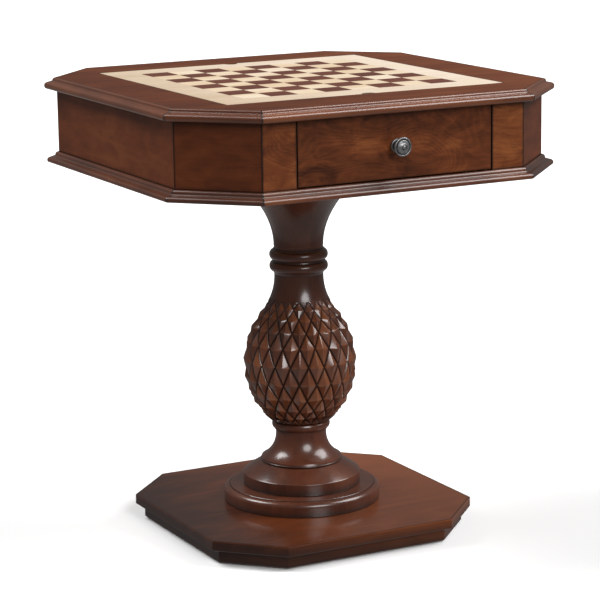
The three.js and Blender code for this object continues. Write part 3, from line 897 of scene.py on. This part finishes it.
def neck_radius(z):
    """The neck's radius, which flares out below NECK_FLARE_TOP."""
    return NECK_RADIUS + 0.00096 * max(0.0, NECK_FLARE_TOP - z) ** 2.4


def build_disc():
    low, high = in_mm(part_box("pedestal_disc"))
    edge = 9
    quirk = high.x - edge - 1.5
    turned(
        "pedestal_disc",
        [
            (high.x - 0.6, low.z),
            (high.x, low.z + 0.8),
            *arc((high.x - edge, high.z - 1.5 - edge), (edge, edge), 0, 90, 14),
            (quirk, high.z - 2.0),
            (quirk, high.z - 0.5),
            (quirk - 0.5, high.z),
        ],
        sides=ROUND_SIDES,
        # Painted shade low on the disc, where it stands on the base.
        sources=[(high.x, low.z, 9)],
    )


def build_foot():
    """A shoulder, a cone in to the lip, and a bell that narrows to the waist."""
    low, high = in_mm(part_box("pedestal_foot"))
    shoulder, shoulder_z = high.x, 93
    lip, lip_z = 70.5, 112
    bell, bell_z = 46, 159.5
    turned(
        "pedestal_foot",
        [
            (shoulder - 0.5, low.z),
            (shoulder, low.z + 0.8),
            *arc((shoulder - 1.8, shoulder_z - 2.4), (1.8, 1.8), 0, 58, 6),
            *bowed((shoulder - 1.0, shoulder_z - 0.7), (lip - 1.8, lip_z), 0.8, 12),
            *arc((lip - 1.6, lip_z + 2), (1.6, 1.5), -60, 62, 7),
            *arc((WAIST + bell, bell_z), (bell, bell), 243, 180, 26),
            (WAIST, high.z),
        ],
        sides=ROUND_SIDES,
        # Painted shade low on the foot, where it stands on the disc.
        sources=[(shoulder, low.z, 11)],
    )


def build_bead_ring():
    low, high = in_mm(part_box("bead_ring"))
    half = (high.z - low.z) / 2
    fillet = 1.4
    turned(
        "bead_ring",
        [
            (WAIST + 1.6, low.z),
            (WAIST + 1.6, low.z + fillet),
            *arc((WAIST, low.z + half), (high.x - WAIST, half - fillet), -88, 88, 20),
            (WAIST + 1.2, high.z - fillet),
            (WAIST + 1.2, high.z),
        ],
    )


def build_neck():
    """The flare above the bulb, two rings and the straight end under the capital."""
    low, high = in_mm(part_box("pedestal_neck"))
    fillet = NECK_RADIUS + 1.6
    ring_half, ring_core = 8.2, NECK_RADIUS + 2
    neck = [(neck_radius(z), z) for z in np.arange(low.z, NECK_FLARE_TOP - 0.5, 3)]
    for z in NECK_RINGS:
        neck += [(fillet, z - ring_half - 1.4), (fillet, z - ring_half)]
        neck += arc((ring_core, z), (high.x - ring_core, ring_half), -82, 82, 16)
    over_rings = NECK_RINGS[-1] + ring_half + 2
    neck += [(fillet, over_rings), (NECK_RADIUS, over_rings + 0.4), (NECK_RADIUS, high.z)]
    turned("pedestal_neck", neck)


def build_capital():
    low, high = in_mm(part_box("capital"))
    stem = NECK_RADIUS + 0.4
    capital = [
        (stem + 0.0047 * (z - low.z) ** 2, z) for z in np.linspace(low.z, CAPITAL_RIM, 34)
    ]
    capital += [(high.x - 1, CAPITAL_RIM + 1.5)]
    capital += arc((high.x - 2, CAPITAL_RIM + 4), (2, 2), -60, 0, 4)
    capital += [(high.x, high.z - 1), (high.x - 1, high.z)]
    turned("capital", capital, sides=ROUND_SIDES)


# ---- the carved bulb

BULB_MIDDLE, BULB_WIDEST = 283, 98
BULB_REACH_UP, BULB_REACH_DOWN = 122, 117
BULB_FLARE_START = 375
# The heights of the scales' side corners; the first and last are the bulb's plain ends.
SCALE_LEVELS = [185.3, 197, 213, 234, 261, 292, 324, 350, 369, 384, 397.5]
SCALES_AROUND = 20
SCALE_PHASE = 0.42
SCALE_DEPTH = 9.0
FADE_BELOW, FADE_ABOVE = 10, 38
GROOVE_START = 0.86
# A facet's rows from its tip to its groove, and the columns in each.
GROOVE_PLACES = (0, 0.12, 0.3, 0.5, 0.66, 0.78, GROOVE_START, 0.89, 0.93, 0.97, 1.0)
FACET_COLUMNS = 9
# Painted light: how much lighter each of a scale's facets is painted, from the lower left one round.
FACET_SHADES = (-0.14, -0.06, 0.12, 0.04)
MARGIN_STAIN = -0.3
BULB_SEED = 11


def bulb_radius(z):
    """Over the scale tips: an egg that runs out into the neck's flare."""
    reach = BULB_REACH_UP if z > BULB_MIDDLE else BULB_REACH_DOWN
    share = min(1.0, abs(z - BULB_MIDDLE) / reach)
    egg = BULB_WIDEST * math.sqrt(1 - share * share)
    return max(egg, neck_radius(z)) if z > BULB_FLARE_START else egg


def scale_angle(turns):
    return (turns + SCALE_PHASE) * 2 * math.pi / SCALES_AROUND


def bulb_point(turns, z, height):
    """A point on the bulb; height 0 is a groove's bottom and 1 a scale's tip."""
    fade = min((z - SCALE_LEVELS[0]) / FADE_BELOW, (SCALE_LEVELS[-1] - z) / FADE_ABOVE)
    depth = 1 + (SCALE_DEPTH - 1) * min(1.0, max(0.0, fade))
    radius = bulb_radius(z) - depth * (1 - height)
    angle = scale_angle(turns)
    return radius * math.cos(angle), radius * math.sin(angle), z


def facet_height(share):
    """A facet's height from the scale's tip, 0, out to its groove, 1."""
    slope = 1 - 0.8 * share
    if share <= GROOVE_START:
        return slope
    into = (share - GROOVE_START) / (1 - GROOVE_START)
    return slope * (1 - into**1.4)


class Skin:
    """Vertices of the carved bulb with their glaze and painted shade, their painted highlight and
    wear, and their tone, and its faces.
    """

    def __init__(self):
        self.vertices, self.glaze, self.wear, self.tone, self.faces = [], [], [], [], []
        self.tone_offset = 0.0

    def add(self, point, glaze, wear):
        self.vertices.append(point)
        self.glaze.append(glaze)
        self.wear.append(wear)
        self.tone.append(self.tone_offset)
        return len(self.vertices) - 1

    def row(self, share, tip, first, second, shade):
        """Vertices across a facet, at a share of the way from its tip to its edge."""
        count = 1 if share == 0 else FACET_COLUMNS
        row = []
        for column in range(count):
            across = column / (count - 1) if count > 1 else 0.5
            turns = tip[0] + share * (first[0] + (second[0] - first[0]) * across - tip[0])
            z = tip[1] + share * (first[1] + (second[1] - first[1]) * across - tip[1])
            height, glaze, wear = shade(share, across)
            row.append(self.add(bulb_point(turns, z, height), glaze, wear))
        return row

    def fan(self, tip, first, second, shade):
        """Rows from a tip out to an edge; shade gives (height, glaze, wear) at (row, column)."""
        rows = [self.row(share, tip, first, second, shade) for share in GROOVE_PLACES]
        point = rows[0][0]
        for inner, outer in zip(rows[1:], rows[2:]):
            for column in range(FACET_COLUMNS - 1):
                self.faces.append(
                    (inner[column], outer[column], outer[column + 1], inner[column + 1])
                )
        for column in range(FACET_COLUMNS - 1):
            self.faces.append((point, rows[1][column], rows[1][column + 1]))


def scale_shade(lift):
    """The shading of one scale; a lower lift blunts its tip."""

    def shade(share, across):
        ridge = min(across, 1 - across)
        # Painted shade in the grooves, and a painted highlight along the ridges.
        glaze = 0.9 * math.exp(-(((1 - share) / 0.15) ** 2))
        wear = math.exp(-((ridge / 0.09) ** 2)) * (1 if share < 0.8 else 0)
        height = facet_height(share) * (1 - (1 - lift) * (1 - share))
        return height - 0.05 * share * math.exp(-((ridge / 0.05) ** 2)), glaze, 1.3 * wear

    return shade


def margin_shade(share, across):
    """Between the outermost scales: the surface rises from their grooves to the ring beyond."""
    ridge = share * min(across, 1 - across) * 2
    rise = min(1.0, ridge / 0.35)
    return rise, 0.9 * (1 - rise), 0.0


def scale_corners():
    """A function that gives each corner between scales as (turns, z), a little uneven."""
    last = len(SCALE_LEVELS) - 1
    corners = {}
    for level, z in enumerate(SCALE_LEVELS):
        fixed = level in (0, last)
        for i in range(SCALES_AROUND):
            wander = (0, 0) if fixed else (random.uniform(-0.05, 0.05), random.uniform(-1.8, 1.8))
            corners[level, i] = (i + (level % 2) / 2 + wander[0], z + wander[1])

    def corner(level, i):
        turns, z = corners[level, i % SCALES_AROUND]
        return turns + (SCALES_AROUND if i >= SCALES_AROUND else 0), z

    return corner


def add_scales(skin, corner):
    """Every scale: four facets round its own tip, with a random tone for the scale and each facet
    painted lighter or darker by how light falls on it.
    """
    for level in range(1, len(SCALE_LEVELS) - 1):
        for i in range(SCALES_AROUND):
            beside = i + (level % 2)
            around = [
                corner(level, i),
                corner(level - 1, beside),
                corner(level, i + 1),
                corner(level + 1, beside),
            ]
            wander = (random.uniform(-0.06, 0.06), random.uniform(-2, 2.5))
            middle = np.mean(around, axis=0) + wander
            shade = scale_shade(random.uniform(0.88, 1.0))
            tone_offset = random.uniform(-0.16, 0.16)
            for k, lighter in enumerate(FACET_SHADES):
                skin.tone_offset = tone_offset + lighter
                skin.fan(middle, around[k], around[(k + 1) % 4], shade)


def add_core(skin, bore):
    """The bulb's two flat ends and its bore for the tie rod."""
    rim = FACET_COLUMNS - 1
    for i in range(SCALES_AROUND):
        angles = [scale_angle(i + k) for k in (0, 1)]
        inner = []
        for z in (SCALE_LEVELS[0], SCALE_LEVELS[-1]):
            row = [
                skin.add(bulb_point(i + k / rim, z, margin_shade(1, k / rim)[0]), 0.8, 0)
                for k in range(rim + 1)
            ]
            ends = [skin.add((bore * math.cos(a), bore * math.sin(a), z), 0.9, 0) for a in angles]
            skin.faces.append((*row, *reversed(ends)))
            inner.append(ends)
        skin.faces.append((inner[0][0], inner[0][1], inner[1][1], inner[1][0]))


def build_bulb():
    """Rows of carved diamond scales: four facets each, with grooves between that painted shade
    darkens.
    """
    random.seed(BULB_SEED)
    last = len(SCALE_LEVELS) - 1
    corner = scale_corners()
    skin = Skin()
    add_scales(skin, corner)
    skin.tone_offset = MARGIN_STAIN
    for i in range(SCALES_AROUND):
        for level, other in ((0, 1), (last, last - 1)):
            skin.fan(corner(other, i), corner(level, i), corner(level, i + 1), margin_shade)
    add_core(skin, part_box("tie_rod")[1].x / MM + 1.5)
    points = np.array(skin.vertices) * MM
    make_piece(
        "pineapple_bulb_carved", points, skin.faces, "carved_wood", "table", ["pineapple_bulb"],
        points[:, [2, 0, 1]], skin.glaze, skin.wear, "turned_wood", sharp=11, tone=skin.tone,
        merge=0.02 * MM,
    )


# ---- the top with its board and well

RECESS_CLEARANCE = 0.7
LEDGE_OVERLAP = 1.5
WELL_WALL = 12
CHESS_SQUARE = 49.0
NOTCH_RADIUS = 12
# (inset, height over the board) of a chess square's rings, from inside the board to its face.
SQUARE_RINGS = ((0.04, -0.8), (0.04, 0.02), (0.12, 0.1), (0.6, 0.1), (1.6, 0.1))


def build_top():
    """The veneered frame, the ledge under the board, and the well."""
    low, high = in_mm(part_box("top_frame"))
    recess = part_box("game_board")[1].x / MM + RECESS_CLEARANCE
    outline = octagon_corners(high.x, leg_at(high.x))
    # Partly painted light: the frame is darker to the left and lighter to the right.
    panel(
        "top_frame_veneered", outline, low.z, high.z, "top_veneer", "table", ["top_frame"],
        hole=square(recess), ease=0.35, rim_glaze=0.7, side_glaze=0.8, hole_glaze=0.9,
        rim_reach=0.9, tone_and_light=(-0.25, 0.12),
    )
    ledge_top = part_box("game_board")[0].z / MM - GAP
    well = -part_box("well_frame")[0].x / MM - WELL_WALL
    panel(
        "board_ledge", square(recess + LEDGE_OVERLAP), low.z, ledge_top, "top_veneer", "table", [],
        hole=square(well), ease=0.4, hole_glaze=0.3,
    )
    outline, bottom, top = plan_of("well_frame")
    panel(
        "well_walls", outline, bottom, top, "cherry", "table", ["well_frame"], hole=square(well),
        ease=0.4, hole_glaze=0.2,
    )
    block("well_floor", "figured_veneer", "table", rim_glaze=0.3)


def notched_square(half, notch):
    """The board's outline, with half-round notches at its front and back edges."""
    front = [(x, -half + y) for x, y in arc((0, 0), (notch, notch), 180, 0, 16)]
    back = [(x, half + y) for x, y in arc((0, 0), (notch, notch), 0, -180, 16)]
    return [(-half, -half), *front, (half, -half), (half, half), *back, (-half, half)]


def build_squares(colour, parity, face_z):
    """The 32 inlaid squares of one colour; each has its own place in the veneer."""
    vertices, faces, glaze, grain = [], [], [], []
    for column, row in product(range(8), repeat=2):
        if (column + row) % 2 != parity:
            continue
        random.seed(f"{column},{row}")
        drift = [random.uniform(0, 5) for _ in range(3)]
        x, y = (column - 4) * CHESS_SQUARE, (row - 4) * CHESS_SQUARE
        far_x, far_y = x + CHESS_SQUARE, y + CHESS_SQUARE
        faces += capped_tower(len(vertices), 4, len(SQUARE_RINGS))
        for inset, rise in SQUARE_RINGS:
            ring = rectangle(x + inset, y + inset, far_x - inset, far_y - inset)
            vertices += [(px, py, face_z + rise) for px, py in ring]
            glaze += [0.5 if inset < 0.5 else 0.0] * 4
            grain += [(px * MM + drift[0], py * MM + drift[1], drift[2]) for px, py in ring]
    make_piece(
        f"{colour}_squares", np.array(vertices) * MM, faces, colour + "_square", "board", [],
        grain, glaze, None, "maple_board",
    )


def build_board():
    low, high = in_mm(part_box("game_board"))
    panel(
        # Partly painted light: the board is darker to the left and lighter to the right; its stained
        # edge is dark all over.
        "game_board_veneered", notched_square(high.x, NOTCH_RADIUS), low.z, high.z, "maple",
        "board", ["game_board"], ease=0.4, rim_glaze=0.35, side_glaze=1.0, rim_reach=0.8,
        slot="maple_board", side_fade=0.5, tone_and_light=(-0.3, 0.3),
    )
    build_squares("dark", 1, high.z)
    build_squares("light", 0, high.z)


# The backgammon points, in mm from the well's middle.
WELL_HALF = 236.0
BAR_HALF = 12.0
SIDE_BORDER = 8
FOOT_BORDER = 6
TIP_DISTANCE = 36
POINTS_IN_QUARTER = 6


def build_points(colour, parity):
    """The long points of one colour, inlaid in the well's floor."""
    _, floor_z = (c.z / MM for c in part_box("well_floor"))
    width = (WELL_HALF - BAR_HALF - SIDE_BORDER) / POINTS_IN_QUARTER
    vertices, faces, grain = [], [], []
    for across, end, k in product((-1, 1), (-1, 1), range(POINTS_IN_QUARTER)):
        if (k + (end > 0) + (across > 0)) % 2 != parity:
            continue
        x = across * (BAR_HALF + width * k)
        foot, tip = end * (WELL_HALF - FOOT_BORDER), end * TIP_DISTANCE
        outline = [(x, foot), (x + across * width, foot), (x + across * width / 2, tip)]
        faces += capped_tower(len(vertices), 3, 2)
        for rise in (-0.6, 0.12):
            vertices += [(px, py, floor_z + rise) for px, py in outline]
        grain += [(py * MM, px * MM, k) for px, py in outline] * 2
    make_piece(
        f"{colour}_points", np.array(vertices) * MM, faces, colour + "_square", "table", [],
        grain, None, None, "maple_board",
    )


# ---- the drawer and what the box hides


DRAWER_GAP_X, DRAWER_GAP_Z = 0.6, 0.5
# A bore too narrow to see, for turned pieces without one.
NO_BORE = 0.05
GLIDE_PROFILE = [(9, 0), (10.4, 0.4), (11, 1.4), (11, 3), (3, 3), (3, 14)]


def build_drawer():
    low, high = in_mm(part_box("drawer_front"))
    outline = rectangle(
        low.x + DRAWER_GAP_X, low.z + DRAWER_GAP_Z, high.x - DRAWER_GAP_X, high.z - DRAWER_GAP_Z
    )
    # Painted shade: the drawer front's rim and sides darken into the gap round it, and it is a little
    # darker, most at the left.
    panel(
        "drawer_front_veneered", outline, -high.y, -low.y, "figured_veneer", "drawer",
        ["drawer_front"], ease=0.7, plane="xz", rim_glaze=0.45, side_glaze=0.9, rim_reach=1.3,
        tone_and_light=(-0.1, -0.03), side_fade=3,
    )
    for name in ("left", "right"):
        block("drawer_side_" + name, "inner_wood", "drawer", ease=1.5, along="y")
        block("drawer_guide_" + name, "inner_wood", "table", along="y")
    block("drawer_back", "inner_wood", "drawer", ease=1.5)
    block("drawer_bottom", "inner_wood", "drawer", ease=0.4)
    block("drawer_stop", "inner_wood", "table")
    build_knob()


def build_knob():
    low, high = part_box("knob")
    centre = ((low.x + high.x) / 2, high.y, (low.z + high.z) / 2)
    profile = [
        (10.2, 0),
        *arc((9.6, 1.8), (1.8, 1.8), -70, 70, 8),
        (8.4, 3.8),
        *arc((12.6, 8.4), (6.2, 4.4), 215, 135, 10),
        (12.0, 14.2),
        (14.4, 16.8),
        *arc((13.7, 19), (1.8, 2.2), -50, 125, 14),
        (12.3, 19.6),
        (11.9, 19.3),
        *arc((8.8, 19.4), (2.6, 3.0), 6, 62, 8),
        *arc((0, 17.6), (10.0, 7.3), 47, 66, 5),
        (3.9, 24.0),
        *arc((0, 22.2), (4.0, 3.4), 28, 89, 8),
    ]
    turned(
        "knob", profile, "pewter", NO_BORE, centre, sides=72, body="drawer", axis="y", width=0.7
    )


def build_inside():
    low, high = in_mm(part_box("box_floor"))
    panel(
        "box_floor_panel", octagon_corners(high.x, leg_at(high.x)), low.z, high.z, "inner_wood",
        "table", ["box_floor"], ease=0.4,
    )
    block("mounting_block", "inner_wood", "table", ease=2.0)


def build_glides():
    for corner in ("front_left", "front_right", "back_right", "back_left"):
        node = "glide_" + corner
        low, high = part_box(node)
        centre = ((low.x + high.x) / 2, (low.y + high.y) / 2, 0)
        turned(node, GLIDE_PROFILE, "plastic", NO_BORE, centre, sides=32, suffix="_moulded")


def colour_hardware():
    """The rod, its nuts and the screws keep their CAD meshes and only change material."""
    nodes = ["tie_rod", "rod_nut_top", "rod_nut_bottom", "knob_screw"]
    nodes += [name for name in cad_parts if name.startswith("mounting_screw")]
    for node in nodes:
        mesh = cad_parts[node].data
        mesh.materials.clear()
        mesh.materials.append(LOOKS["steel"])


add_camera()
add_lights()
add_floor()
build_base()
build_disc()
build_foot()
build_bead_ring()
build_neck()
build_capital()
build_bulb()
build_inside()
build_apron()
build_mouldings()
build_top()
build_board()
build_points("light", 0)
build_points("dark", 1)
build_drawer()
build_glides()
colour_hardware()
